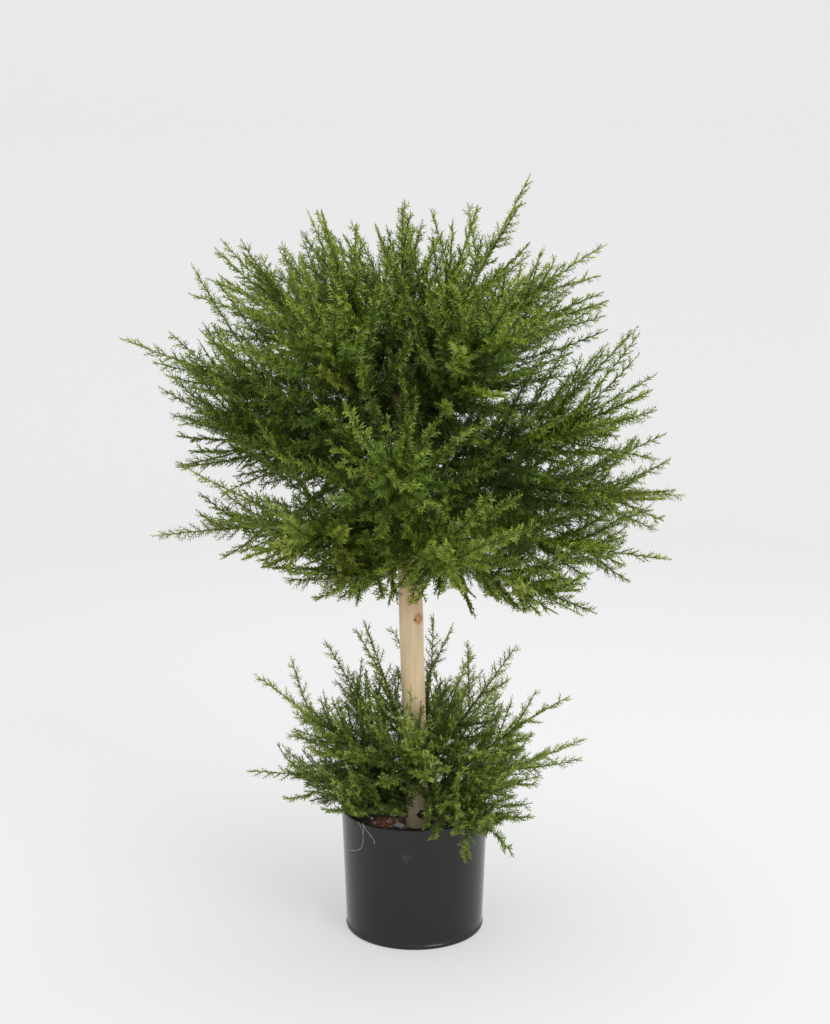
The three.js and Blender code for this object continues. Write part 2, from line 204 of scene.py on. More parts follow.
SPRIGLET_ZONE = (0.28, 0.8)
SPRIGLET_SHARE = 0.42
SPRIGLET_PARENT = 0.0185
SPRIGLET_TAPER = 0.5
SPRIG_REACH_OVER = -0.080
SPRIG_TRIES = (1, 0.72, 0.5)
NEEDLE_SPACING = 0.0012
TWIG_NEEDLE_SPACING = 0.0013
NEEDLE_LENGTHS = (0.0072, 0.0053)
NEEDLE_LENGTH_SPREAD = 0.12
NEEDLE_OPENING = (47, 22)
NEEDLE_OPENING_SPREAD = 6
NEEDLE_AROUND_SPREAD = 0.14
NEEDLE_WIDTHS = dict(crown=0.00195, skirt=0.0017)
NEEDLE_LIFT = math.radians(33)
NEEDLE_KEEL = 0.0007
NEEDLE_BROADEST = 0.36
NEEDLE_SLIMMING = (1, 0.75)
MOST_TRIANGLES = 196000

# Tubes of the stems and shoots: radii at their two ends, sides, and rings along them
BOUGH_TUBE = ((0.0027, 0.0021), 10, 8)
STEM_TUBE = ((0.0019, 0.001), 8, 14)
TWIG_TUBE = ((0.0011, 0.00045), 4, 6)
SPRIG_TUBE = ((0.0008, 0.0005), 3, 1)
SPRIGLET_TUBE = ((0.00055, 0.0003), 3, 1)


# The studio: a pale seamless sweep, soft light and the photograph's camera

def studio():
    sweep_radius, floor_radius, wall_top = 1.1, 3.5, 3.4
    profile = [(0, 0), (floor_radius - sweep_radius, 0)]
    profile += arc((floor_radius - sweep_radius, sweep_radius), sweep_radius, -90, 0, 16)
    profile.append((floor_radius, wall_top))
    work = spun(profile, 96)
    bmesh.ops.reverse_faces(work, faces=work.faces)
    mesh = mesh_of(work, "studio_sweep")
    _, shader, paint = new_finish("studio_paint")
    for name, value in (("Base Color", (0.32, 0.32, 0.32, 1)), ("Emission Color", (1, 1, 1, 1)),
                        ("Emission Strength", 0.43), ("Roughness", 0.9),
                        ("Specular IOR Level", 0.1)):
        shader.inputs[name].default_value = value
    mesh.materials.append(paint)
    placed("studio_sweep", mesh)

    soft_box("key_light", (1.7, -2.3, 2.3), (0, 0, 0.5), 2.0, 58)
    soft_box("top_light", (0.1, -0.2, 3.0), (0, 0, 0.4), 2.4, 34)
    soft_box("wall_light", (0, 0.7, 2.7), (0, 3.4, 1.0), 2.2, 10)

    world = bpy.data.worlds.new("studio_air")
    world.use_nodes = True
    air = world.node_tree.nodes["Background"].inputs
    air["Color"].default_value = (1, 1, 1, 1)
    air["Strength"].default_value = 1.08
    bpy.context.scene.world = world
    bpy.context.scene.view_settings.view_transform = "Standard"


def soft_box(name, place, aim, size, power):
    light = bpy.data.lights.new(name, "AREA")
    light.shape = "DISK"
    light.size = size
    light.energy = power
    holder = placed(name, light)
    holder.location = place
    holder.rotation_euler = (Vector(aim) - Vector(place)).to_track_quat("-Z", "Y").to_euler()
    holder.visible_camera = False


def photograph_camera():
    lens = bpy.data.cameras.new("photograph_camera")
    lens.lens = 59.77
    lens.sensor_width = 36
    lens.clip_end = 30
    camera = placed("photograph_camera", lens)
    camera.location = (0.0006, -1.967, 0.872)
    camera.rotation_euler = (math.radians(90 - 10.37), 0, 0)
    bpy.context.scene.camera = camera


# Shapes

def arc(centre, radius, start, end, steps):
    """Points of a round stretch of a profile, between two angles in degrees."""
    angles = [math.radians(start + (end - start) * step / steps) for step in range(steps + 1)]
    return [(centre[0] + radius * math.cos(a), centre[1] + radius * math.sin(a)) for a in angles]


def spun(profile, steps):
    """A shape of revolution from (radius, height) points, closed if they end on the axis."""
    work = bmesh.new()
    corners = [work.verts.new((radius, 0, height)) for radius, height in profile]
    edges = [work.edges.new(pair) for pair in zip(corners, corners[1:])]
    bmesh.ops.spin(work, geom=corners + edges, cent=(0, 0, 0), axis=(0, 0, 1),
                   angle=FULL_TURN, steps=steps, use_merge=True)
    bmesh.ops.remove_doubles(work, verts=work.verts, dist=1e-6)
    bmesh.ops.recalc_face_normals(work, faces=work.faces)
    return work


def divided(start, end, steps):
    """Points of a straight stretch of a profile, its start left out."""
    return [tuple(np.array(start) + (np.array(end) - np.array(start)) * step / steps)
            for step in range(1, steps + 1)]


def placed(name, data):
    thing = bpy.data.objects.new(name, data)
    bpy.context.collection.objects.link(thing)
    return thing


def mesh_of(work, name):
    mesh = bpy.data.meshes.new(name)
    work.to_mesh(mesh)
    work.free()
    mesh.shade_smooth()
    return mesh


def dressed(mesh, material, slot, *nodes):
    """The finished object of a mesh: it rides on the plant and stands for its nodes."""
    mesh.materials.append(material)
    piece = placed(mesh.name, mesh)
    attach(piece, "root")
    if nodes:
        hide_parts(*nodes)


def mesh_from_arrays(name, points, triangles):
    mesh = bpy.data.meshes.new(name)
    mesh.vertices.add(len(points))
    mesh.vertices.foreach_set("co", points.astype(np.float32).ravel())
    mesh.loops.add(triangles.size)
    mesh.loops.foreach_set("vertex_index", triangles.astype(np.int32).ravel())
    mesh.polygons.add(len(triangles))
    mesh.polygons.foreach_set("loop_start", np.arange(0, triangles.size, 3, dtype=np.int32))
    mesh.update(calc_edges=True)
    mesh.validate()
    return mesh


def tube_into(work, points, radii, sides):
    """Adds a closed round tube through points, one radius a point."""
    rings = []
    for index, point in enumerate(points):
        before = Vector(points[max(index - 1, 0)])
        after = Vector(points[min(index + 1, len(points) - 1)])
        turn = (after - before).to_track_quat("Z", "X").to_matrix().to_4x4()
        place = Matrix.Translation(Vector(point)) @ turn
        rings.append(bmesh.ops.create_circle(
            work, segments=sides, radius=radii[index], matrix=place)["verts"])
    for lower, upper in zip(rings, rings[1:]):
        edges = {edge for vert in lower + upper for edge in vert.link_edges}
        wanted = [edge for edge in edges
                  if set(edge.verts) <= set(lower) or set(edge.verts) <= set(upper)]
        bmesh.ops.bridge_loops(work, edges=wanted)
    for ring in (rings[0], rings[-1]):
        bmesh.ops.contextual_create(work, geom=ring)


def lump_into(work, place, size, roughness, detail=2):
    """Adds a small uneven lump: size is its three half-widths."""
    made = bmesh.ops.create_icosphere(work, subdivisions=detail, radius=1)["verts"]
    centre = Vector(place)
    for vert in made:
        swell = 1 + roughness * noise.noise(vert.co * 1.7 + centre * 900)
        vert.co = centre + Vector(c * s for c, s in zip(vert.co * swell, size))


# Shader groups that several finishes share

def new_group(name, output, **inputs):
    """A shader group, the sockets in it that give its inputs, and the one that takes its output."""
    group = bpy.data.node_groups.new(name, "ShaderNodeTree")
    for socket, value in inputs.items():
        kind = "NodeSocketFloat" if isinstance(value, float) else "NodeSocketVector"
        made = group.interface.new_socket(socket, in_out="INPUT", socket_type=kind)
        made.default_value = value
    group.interface.new_socket(output, in_out="OUTPUT", socket_type="NodeSocketFloat")
    given = group.nodes.new("NodeGroupInput").outputs
    return group, given, group.nodes.new("NodeGroupOutput").inputs[output]


def feed(tree, socket, value):
    """Links a socket to another node's output, or sets its own value, a colour with its alpha."""
    if isinstance(value, bpy.types.NodeSocket):
        tree.links.new(value, socket)
    elif socket.type == "RGBA":
        socket.default_value = (*value, 1)
    else:
        socket.default_value = value


def add_node(tree, kind, **values):
    """A node, with its sockets' values or links by name."""
    node = tree.nodes.new(kind)
    for name, value in values.items():
        feed(tree, node.inputs[name.replace("_", " ")], value)
    return node


def calculated(tree, kind, operation, first, second):
    """The outputs of a maths or vector maths node."""
    node = tree.nodes.new(kind)
    node.operation = operation
    feed(tree, node.inputs[0], first)
    feed(tree, node.inputs[1], second)
    return node.outputs


def maths(tree, operation, first, second):
    return calculated(tree, "ShaderNodeMath", operation, first, second)[0]


def mix_colours(tree, share, first, second):
    node = tree.nodes.new("ShaderNodeMix")
    node.data_type = "RGBA"
    for index, value in ((0, share), (6, first), (7, second)):
        feed(tree, node.inputs[index], value)
    return node.outputs[2]


def stained(tree, colour, *stains):
    """Lays stains over a colour in turn, each given as its mask, its strength and its colour."""
    for mask, strength, stain in stains:
        share = mask if strength == 1 else maths(tree, "MULTIPLY", mask, strength)
        colour = mix_colours(tree, share, colour, stain)
    return colour


def share_of(tree, value, start, end):
    """How far a value has come from the start of a range to its end: 0 to 1."""
    return add_node(tree, "ShaderNodeMapRange", Value=value, From_Min=start,
                    From_Max=end).outputs[0]


def range_of(tree, value, low, high):
    return add_node(tree, "ShaderNodeMapRange", Value=value, To_Min=low, To_Max=high).outputs[0]


def stretched_grain_group():
    """Noise stretched by a vector, brought to 0 to 1: streaks, mottling and fine grain."""
    group, given, out = new_group("stretched_grain", "Grain", Stretch=(1, 1, 1), Scale=40.0,
                                  Detail=3.0, Low=0.35, High=0.65)
    place = add_node(group, "ShaderNodeTexCoord").outputs["Object"]
    mapped = add_node(group, "ShaderNodeMapping", Vector=place, Scale=given["Stretch"])
    field = add_node(group, "ShaderNodeTexNoise", Vector=mapped.outputs[0],
                     Scale=given["Scale"], Detail=given["Detail"])
    feed(group, out, share_of(group, field.outputs[0], given["Low"], given["High"]))
    return group


def place_mark_group():
    """A ragged round mark about a point: 1 at its heart, 0 outside."""
    group, given, out = new_group("place_mark", "Mask", Centre=(0, 0, 0), Radius=0.01, Ragged=0.4,
                                  Soft=0.4, Scale=300.0)
    place = add_node(group, "ShaderNodeTexCoord").outputs["Object"]
    field = add_node(group, "ShaderNodeTexNoise", Vector=place, Scale=given["Scale"], Detail=3.0)
    away = calculated(group, "ShaderNodeVectorMath", "DISTANCE", place, given["Centre"])["Value"]
    share = maths(group, "DIVIDE", away, given["Radius"])
    wander = maths(group, "SUBTRACT", field.outputs[0], 0.5)
    edge = maths(group, "ADD", share, maths(group, "MULTIPLY", wander, given["Ragged"]))
    inner = maths(group, "SUBTRACT", 1.0, given["Soft"])
    feed(group, out, share_of(group, edge, 1.0, inner))
    return group


STRETCHED_GRAIN = stretched_grain_group()
PLACE_MARK = place_mark_group()


# Finishes

def new_finish(name):
    material = bpy.data.materials.new(name)
    material.use_nodes = True
    return material.node_tree, material.node_tree.nodes["Principled BSDF"], material


def coat(tree, shader, colour, mask, roughness_low, roughness_high):
    """Gives a finish its colour, and a roughness that follows a mask."""
    feed(tree, shader.inputs["Base Color"], colour)
    feed(tree, shader.inputs["Roughness"], range_of(tree, mask, roughness_low, roughness_high))


def group_in(tree, group, **values):
    node = tree.nodes.new("ShaderNodeGroup")
    node.node_tree = group
    for socket, value in values.items():
        node.inputs[socket].default_value = value
    return node.outputs[0]


def grain_in(tree, stretch, scale, detail=3.0, low=0.35, high=0.65):
    return group_in(tree, STRETCHED_GRAIN, Stretch=stretch, Scale=scale, Detail=detail,
                    Low=low, High=high)


def mark_in(tree, centre, radius, ragged, soft, scale=300.0):
    return group_in(tree, PLACE_MARK, Centre=centre, Radius=radius, Ragged=ragged, Soft=soft,
                    Scale=scale)


def raise_by(tree, shader, height, distance):
    bump = add_node(tree, "ShaderNodeBump", Height=height, Distance=distance)
    feed(tree, shader.inputs["Normal"], bump.outputs[0])


def pot_plastic():
    """Satin black plastic, a little dusty, with faint rubbed marks."""
    tree, shader, material = new_finish("pot_plastic")
    dust = grain_in(tree, (1, 1, 1), 30, 3, 0.15, 0.9)
    rubbed = grain_in(tree, (1, 1, 9), 160, 2, 0.68, 0.86)
    scuff = mark_in(tree, (-0.010, -0.0868, 0.1165), 0.007, 2.6, 0.9, 170)
    colour = stained(tree, (0.0055, 0.0060, 0.0054), (dust, 0.3, (0.014, 0.0135, 0.012)),
                     (rubbed, 0.05, (0.1, 0.1, 0.095)), (scuff, 0.10, (0.2, 0.2, 0.19)))
    coat(tree, shader, colour, dust, 0.09, 0.14)
    shader.inputs["Specular IOR Level"].default_value = 0.44
    raise_by(tree, shader, grain_in(tree, (1, 1, 1), 700, 2, 0.3, 0.7), 0.00002)
    return material


def peeled_wood():
    """Peeled pale wood: cream lower down, pinkish brown near the crown, with flecks and a knot, and
    painted light on its shaded foot.
    """
    tree, shader, material = new_finish("peeled_wood")
    place = add_node(tree, "ShaderNodeTexCoord").outputs["Object"]
    height = add_node(tree, "ShaderNodeSeparateXYZ", Vector=place).outputs["Z"]
    streaks = grain_in(tree, (1, 1, 0.06), 210, 4, 0.3, 0.7)
    mottle = grain_in(tree, (1, 1, 0.35), 55, 3, 0.35, 0.68)
    flecks = grain_in(tree, (1, 1, 0.3), 330, 1, 0.7, 0.78)
    cream = mix_colours(tree, streaks, (0.80, 0.60, 0.365), (0.93, 0.75, 0.49))
    brown = mix_colours(tree, streaks, (0.47, 0.245, 0.135), (0.62, 0.38, 0.23))
    browning = share_of(tree, height, 0.372, 0.436)
    # painted light: the foot, shaded by the skirt, is lightened to pale tan below 0.19 m
    painted_foot_light = share_of(tree, height, 0.19, 0.15)
    heart = pole_place(KNOT_HEIGHT, KNOT_TURN)
    dot = pole_place(KNOT_HEIGHT - 0.001, KNOT_TURN - 0.33)
    torn = [mark_in(tree, pole_place(*place), TORN_SIZE, 1.0, 0.6) for place in TORN_PLACES]
    colour = stained(
        tree, cream, (mottle, 0.35, (0.60, 0.41, 0.23)), (browning, 0.85, brown),
        (painted_foot_light, 0.95, (1.0, 0.84, 0.55)), (flecks, 0.4, (0.22, 0.13, 0.05)),
        (mark_in(tree, heart, 0.0085, 0.4, 0.6), 1, (0.46, 0.15, 0.05)),
        (mark_in(tree, heart, 0.0042, 0.5, 0.5), 1, (0.74, 0.32, 0.12)),
        (mark_in(tree, dot, 0.0020, 0.5, 0.6), 1, (0.16, 0.05, 0.025)),
        *((mark, 1, (0.28, 0.075, 0.04)) for mark in torn))
    coat(tree, shader, colour, streaks, 0.62, 0.48)
    raise_by(tree, shader, streaks, 0.00012)
    return material


def cast_fill():
    """Weighted filler: dark crumbs with a reddish brown patch on its left."""
    tree, shader, material = new_finish("cast_fill")
    crumbs = grain_in(tree, (1, 1, 1), 260, 3, 0.4, 0.62)
    dark = mix_colours(tree, crumbs, (0.02, 0.011, 0.007), (0.075, 0.035, 0.02))
    red = mix_colours(tree, crumbs, (0.21, 0.06, 0.028), (0.62, 0.21, 0.10))
    patch = mark_in(tree, (-0.0345, 0.010, FILL_TOP), 0.021, 1.0, 0.6, 130)
    coat(tree, shader, mix_colours(tree, patch, dark, red), crumbs, 0.95, 0.6)
    raise_by(tree, shader, crumbs, 0.0006)
    return material


def mottled_plastic(name, dark, light, low_roughness, high_roughness, scale):
    tree, shader, material = new_finish(name)
    mottle = grain_in(tree, (1, 1, 1), scale, 2)
    coat(tree, shader, mix_colours(tree, mottle, dark, light), mottle, low_roughness,
         high_roughness)
    return material


def needle_plastic(name, colour):
    """One plain tint of moulded needle plastic, its gloss a little uneven."""
    tree, shader, material = new_finish(name)
    shader.inputs["Specular IOR Level"].default_value = 0.36
    coat(tree, shader, colour, grain_in(tree, (1, 1, 1), 60, 2), 0.34, 0.5)
    return material


# Pot, fill and glue

def pot_radius(height):
    return FOOT_RADIUS + (RIM_RADIUS - FOOT_RADIUS) * height / POT_HEIGHT


def pot_shell():
    lip = POT_WALL / 2
    inside_floor = pot_radius(POT_FLOOR) - POT_WALL
    profile = [(0, UNDERSIDE_RECESS), (UNDERSIDE_RING, UNDERSIDE_RECESS),
               (UNDERSIDE_RING + UNDERSIDE_RECESS, 0)]
    ring = FOOT_RADIUS + FOOT_RING
    profile += arc((ring - FOOT_ROUND, FOOT_ROUND), FOOT_ROUND, -90, 0, 8)
    profile += arc((ring - FOOT_RING_ROUND, FOOT_RING_HEIGHT), FOOT_RING_ROUND, 0, 56, 8)
    profile += divided(profile[-1], (RIM_RADIUS, POT_HEIGHT - lip), 36)
    profile += arc((RIM_RADIUS - lip, POT_HEIGHT - lip), lip, 20, 180, 8)
    profile += divided(profile[-1], (inside_floor, POT_FLOOR + FOOT_ROUND), 12)
    profile += [(inside_floor - FOOT_ROUND, POT_FLOOR), (0, POT_FLOOR)]
    work = spun(profile, POT_STEPS)
    for vert in work.verts:
        if vert.co.z > 2 * FOOT_ROUND:
            outward = Vector((vert.co.x, vert.co.y, 0)).normalized()
            sample = Vector((outward.x * 2.2, outward.y * 2.2, vert.co.z * 14))
            vert.co += outward * POT_WAVER * noise.noise(sample)
    dressed(mesh_of(work, "pot_shell"), pot_plastic(), "pot", "pot")


def fill_height(x, y):
    mound = FILL_MOUND * (1 - math.hypot(x, y) / RIM_RADIUS)
    lump = FILL_LUMP * noise.noise(Vector((x, y, 0)) * 75)
    grain = FILL_GRAIN * noise.noise(Vector((x, y, 0.3)) * 310)
    return FILL_TOP + mound + lump + grain


def cast_fill_body():
    edge = pot_radius(FILL_TOP) - POT_WALL - TOUCHING_GAP
    foot = pot_radius(FILL_BOTTOM) - POT_WALL - TOUCHING_GAP - FOOT_ROUND
    profile = [(0, FILL_BOTTOM), (foot, FILL_BOTTOM), (edge, FILL_TOP)]
    profile += divided(profile[-1], (0, FILL_TOP), 42)
    work = spun(profile, 150)
    for vert in work.verts:
        if vert.co.z > FILL_TOP - 1e-5 and math.hypot(vert.co.x, vert.co.y) < edge - 1e-4:
            vert.co.z = fill_height(vert.co.x, vert.co.y)
    dressed(mesh_of(work, "fill_body"), cast_fill(), "fill", "fill")


def on_fill(x, y, above=0.0):
    return (x, y, fill_height(x, y) + above)


# Beads on the fill by the pole's left: x, y and size
NAMED_BEADS = [(-0.0526, 0.0225, 0.0022), (-0.0484, 0.0056, 0.0021), (-0.0326, 0.0108, 0.0017),
               (-0.0212, 0.0094, 0.0020)]
LOOSE_BEADS = 26


def fill_beads():
    """White beads in and on the fill."""
    rng = np.random.default_rng(FINE_SEED)
    beads = bmesh.new()
    for x, y, size in NAMED_BEADS:
        lump_into(beads, on_fill(x, y, size / 2), (size, size, size * 0.9), 0.25)
    for _ in range(LOOSE_BEADS):
        turn, out = rng.uniform(0, FULL_TURN), rng.uniform(0.022, 0.08)
        size = rng.uniform(0.0005, 0.001)
        spot = on_fill(out * math.cos(turn), out * math.sin(turn), size * 0.6)
        lump_into(beads, spot, (size, size, size * 0.8), 0.3, 1)
    white = mottled_plastic("bead_white", (0.80, 0.78, 0.74), (0.92, 0.91, 0.88), 0.4, 0.6, 300)
    dressed(mesh_of(beads, "fill_beads"), white, "fill")


# Strands of glue on the pot's outside: (turn round the pot in degrees, height)
GLUE_STRANDS = [
    [(-139.5, 0.1512), (-136.4, 0.1475), (-134.0, 0.141), (-133.4, 0.1352), (-134.3, 0.1240),
     (-137.0, 0.1178), (-142.0, 0.1136), (-150.0, 0.1095), (-156.0, 0.1078)],
    [(-132.9, 0.1512), (-131.3, 0.1465), (-126.9, 0.1405), (-123.0, 0.1345), (-122.3, 0.1298)],
    [(-134.2, 0.1512), (-132.6, 0.1440), (-132.9, 0.1400)],
]
STRAND_RADIUS = 0.0002
STRAND_STANDOFF = 0.0002


def hot_glue():
    """Glue on the fill and at the pole's foot, and thin strands of it down the pot."""
    plastic = mottled_plastic("hot_glue", (0.30, 0.32, 0.34), (0.60, 0.62, 0.64), 0.25, 0.4, 400)
    glue = bmesh.new()
    for place, size, detail in (
            (on_fill(-0.0190, -0.0040, 0.0004), (0.0070, 0.0060, 0.0016), 3),
            (on_fill(-0.0135, -0.0110, 0.0006), (0.0046, 0.0040, 0.0018), 3),
            ((-0.0100, -0.0035, 0.1408), (0.0016, 0.0014, 0.0019), 2),
            ((0.0127, -0.0128, 0.1506), (0.0016, 0.0010, 0.0010), 2),
            ((0.0158, -0.0118, 0.1440), (0.0013, 0.0011, 0.0024), 2)):
        lump_into(glue, place, size, 0.5, detail)
    dressed(mesh_of(glue, "glue_lumps"), plastic, "fill")

    strands = bmesh.new()
    for route in GLUE_STRANDS:
        turns, heights = np.array(route).T
        steps = np.linspace(0, len(route) - 1, (len(route) - 1) * 5 + 1)
        turns = np.radians(smooth_through(steps, turns))
        heights = smooth_through(steps, heights)
        radii = pot_radius(np.minimum(heights, POT_HEIGHT)) + STRAND_STANDOFF
        points = np.stack([radii * np.cos(turns), radii * np.sin(turns), heights], axis=-1)
        thin = STRAND_RADIUS * (0.75 + 0.5 * np.abs(np.sin(steps * 2.1)))
        tube_into(strands, [tuple(point) for point in points], thin, 6)
    bmesh.ops.recalc_face_normals(strands, faces=strands.faces)
    dressed(mesh_of(strands, "glue_strands"), plastic, "pot")


def smooth_through(steps, values):
    """Values between whole steps on one smooth curve through all of them."""
    padded = np.concatenate([[2 * values[0] - values[1]], values, [2 * values[-1] - values[-2]]])
    index = np.minimum(steps.astype(int), len(values) - 2)
    t = steps - index
    a, b, c, d = (padded[index + shift] for shift in range(4))
    return 0.5 * (2 * b + (c - a) * t + (2 * a - 5 * b + 4 * c - d) * t ** 2
                  + (3 * b - a - 3 * c + d) * t ** 3)


# Pole

def pole_middle(height):
    height = np.asarray(height, float)
    waver = POLE_WAVER * np.sin(height * POLE_WAVER_PER_M)
    return np.stack([POLE_FOOT_X + POLE_LEAN * height + waver, waver, height], axis=-1)


def pole_radius(height, turn):
    share = (height - POLE_BOTTOM) / (POLE_TOP - POLE_BOTTOM)
    away = mark_distance(height, turn, KNOT_HEIGHT, KNOT_TURN)
    knot = KNOT_RISE * math.exp(-(away / KNOT_SPREAD) ** 2)
    return POLE_FOOT_RADIUS + (POLE_TOP_RADIUS - POLE_FOOT_RADIUS) * share + knot


def mark_distance(height, turn, mark_height, mark_turn):
    aside = math.remainder(turn - mark_turn, FULL_TURN) * POLE_FOOT_RADIUS
    return math.hypot(height - mark_height, aside)


def pole_place(height, turn):
    radius = pole_radius(height, turn)
    middle = pole_middle(height)
    return (middle[0] + radius * math.cos(turn), middle[1] + radius * math.sin(turn), height)


def peeled_relief(height, turn):
    """How far the peeled surface stands off the plain pole: ridges, nicks, knot, torn patch."""
    round_about = Vector((math.cos(turn), math.sin(turn), 0))
    ridges = RIDGE_HEIGHT * noise.noise(round_about * 2.4 + Vector((0, 0, height * 7)))
    fibres = FIBRE_HEIGHT * noise.noise(round_about * 9 + Vector((4, 0, height * 16)))
    nick = noise.noise(round_about * 5 + Vector((0, 9, height * 60)))
    nicks = -NICK_DEPTH * max(0.0, nick - NICK_LIMIT)
    heart = mark_distance(height, turn, KNOT_HEIGHT, KNOT_TURN) / KNOT_HEART
    lip = KNOT_LIP * math.exp(-((heart - 1) / 0.3) ** 2)
    hollow = KNOT_DEPTH * math.exp(-(heart / 0.55) ** 2)
    tear = min(mark_distance(height, turn, *place) for place in TORN_PLACES) / TORN_SIZE
    ragged = 1 + 0.5 * noise.noise(round_about * 14 + Vector((0, 0, height * 420)))
    torn = -TORN_DEPTH * max(0.0, 1 - tear * ragged)
    return ridges + fibres + nicks + (lip - hollow) + torn


def peeled_pole():
    work = bmesh.new()
    bmesh.ops.create_cone(work, cap_ends=True, segments=POLE_SIDES, radius1=1, radius2=1, depth=1)
    upright = [edge for edge in work.edges
               if abs(edge.verts[0].co.z - edge.verts[1].co.z) > 0.5]
    bmesh.ops.subdivide_edges(work, edges=upright, cuts=POLE_RINGS, use_grid_fill=True)
    for vert in work.verts:
        turn = math.atan2(vert.co.y, vert.co.x)
        height = POLE_BOTTOM + (POLE_TOP - POLE_BOTTOM) * (vert.co.z + 0.5)
        radius = pole_radius(height, turn) + peeled_relief(height, turn)
        middle = Vector(pole_middle(height))
        vert.co = middle + Vector((math.cos(turn), math.sin(turn), 0)) * radius
    dressed(mesh_of(work, "peeled_pole"), peeled_wood(), "trunk", "trunk")


def cut_stubs():
    """Cut-off stems glued against the pole's foot."""
    bark = mottled_plastic("stub_bark", (0.035, 0.014, 0.009), (0.12, 0.045, 0.025), 0.5, 0.75, 260)
    stubs = bmesh.new()
    lump_into(stubs, (0.0092, -0.0142, 0.1432), (0.0048, 0.0028, 0.0056), 0.5, 3)
    for route, radii in (
            ([(0.0100, -0.0125, 0.1415), (0.0135, -0.0130, 0.1470), (0.0205, -0.0108, 0.1570),
              (0.0285, -0.0076, 0.1675)], (0.0034, 0.0030, 0.0023, 0.0020)),
            ([(-0.0098, -0.0060, 0.1380), (-0.0116, -0.0058, 0.1460),
              (-0.0160, -0.0030, 0.1600)], (0.0030, 0.0028, 0.0021)),
            ([(0.0100, 0.0120, 0.1330), (0.0150, 0.0180, 0.1450),
              (0.0230, 0.0240, 0.1580)], (0.0027, 0.0024, 0.0021))):
        tube_into(stubs, route, radii, 12)
    for vert in stubs.verts:
        vert.co += Vector(noise.noise_vector(vert.co * 420)) * 0.0005
    bmesh.ops.recalc_face_normals(stubs, faces=stubs.faces)
    dressed(mesh_of(stubs, "cut_stubs"), bark, "stems")


# Growth rule, as in the model's source

WORD = 0xFFFFFFFF


def seeded_row(seed):
    """A seeded row of numbers from 0 to 1, the same as the model's source draws."""
    state = seed & WORD

    def draw():
        nonlocal state
        state = (state + 0x6D2B79F5) & WORD
        mixed = ((state ^ (state >> 15)) * (state | 1)) & WORD
        mixed ^= (mixed + (mixed ^ (mixed >> 7)) * (mixed | 61)) & WORD
        return ((mixed ^ (mixed >> 14)) & WORD) / 2 ** 32

    return draw


def spray_courses():
    courses = []
    for tier in TIERS:
        for index in range(tier["count"]):
            name = f"{tier['name']}_{index + 1}"
            draw = seeded_row(tier["seed"] * 131 + index)
            plan = {**tier, **LEADERS.get(name, {})}
            plan["turn"] += 360 / plan["count"] * index + TURN_JITTER * (2 * draw() - 1)
            plan["rise"] += RISE_JITTER * (2 * draw() - 1)
            plan["reach"] *= 1 + REACH_JITTER * (2 * draw() - 1)
            plan["sway"] = SWAY * (2 * draw() - 1)
            courses.append({**plan, "name": name, "draw": draw})
    return courses


def course_lines(course):
    """A course as root + run * along + bow * (along / reach) ** 2."""
    turn, rise = math.radians(course["turn"]), math.radians(course["rise"])
    outward = np.array((math.cos(turn), math.sin(turn), 0))
    aside = np.array((-math.sin(turn), math.cos(turn), 0))
    run = outward * math.cos(rise) + UP * math.sin(rise)
    bow = UP * course["lift"] + aside * course["sway"]
    return pole_middle(course["height"]), run, bow


def course_points(course, along):
    root, run, bow = course_lines(course)
    along = np.asarray(along, float)[..., None]
    return root + run * along + bow * (along / course["reach"]) ** 2


def unit(vectors):
    return vectors / np.linalg.norm(vectors, axis=-1, keepdims=True)


def across_of(heading):
    """Two directions square to each heading: one level, one as near upright as it can be."""
    level = np.cross(UP, heading)
    tiny = (level ** 2).sum(-1, keepdims=True) < 1e-6
    level = unit(np.where(tiny, np.array((0.0, 1.0, 0.0)), level))
    return level, unit(np.cross(heading, level))


COURSES = spray_courses()
COURSE_NAMES = [course["name"] for course in COURSES]
PATHS = np.array([course_points(course, np.linspace(0, course["reach"], SPACE_STEPS + 1))
                  for course in COURSES])
SPACE_PER_CALL = 1500


def distance_to_courses(points):
    """How far each point lies from every course: one row a point, one column a course."""
    roots, runs = PATHS[:, :-1], PATHS[:, 1:] - PATHS[:, :-1]
    squares = (runs ** 2).sum(-1)
    rows = []
    for some in np.array_split(points, max(1, len(points) // SPACE_PER_CALL)):
        offset = some[:, None, None] - roots
        share = np.clip((offset * runs).sum(-1) / squares, 0, 1)
        rows.append(np.linalg.norm(offset - share[..., None] * runs, axis=-1).min(-1))
    return np.concatenate(rows)


def in_own_space(points, owner, margin):
    """Which points lie nearer to their own course than to any other, clear of pole and pot."""
    away = distance_to_courses(points)
    each = np.arange(len(points))
    own = away[each, owner]
    away[each, owner] = np.inf
    height = np.minimum(points[:, 2], POLE_TOP)
    off_pole = np.linalg.norm(points - pole_middle(height), axis=1)
    out = np.hypot(points[:, 0], points[:, 1])
    beside_pot = (out < RIM_RADIUS + POT_MARGIN) & (points[:, 2] < POT_HEIGHT + POT_MARGIN)
    clear = (off_pole >= POLE_FOOT_RADIUS + POLE_MARGIN) & ~beside_pot
    return (away.min(1) - own >= margin) & clear


# The rounded bodies that the sprays fill, which only the masses' own sprays stand out of
CROWN_MIDDLE, CROWN_SIZE = np.array((0.0, 0.0, 0.622)), np.array((0.280, 0.285, 0.208))
SKIRT_MIDDLE, SKIRT_SIZE = np.array((0.002, 0.0, 0.22)), np.array((0.152, 0.152, 0.092))
CROWN_SLANT = -0.12
BODY_ROUNDNESS = 2.5
BODY_LOOSENESS = (0.80, 1.12)

# The undersides: height beside the pole, and its rise outwards and towards the front
CROWN_UNDERSIDE = (0.400, 0.15, 0.09)
SKIRT_UNDERSIDE = (0.143, 0.05, 0.26)
HANGING = {"skirt_outer_1": 0.09, "crown_lower_4": 0.012, "crown_under_1": 0.02,
           "crown_middle_4": -0.115}
LOW_TOPS = {"crown_lower_1": 0.524}

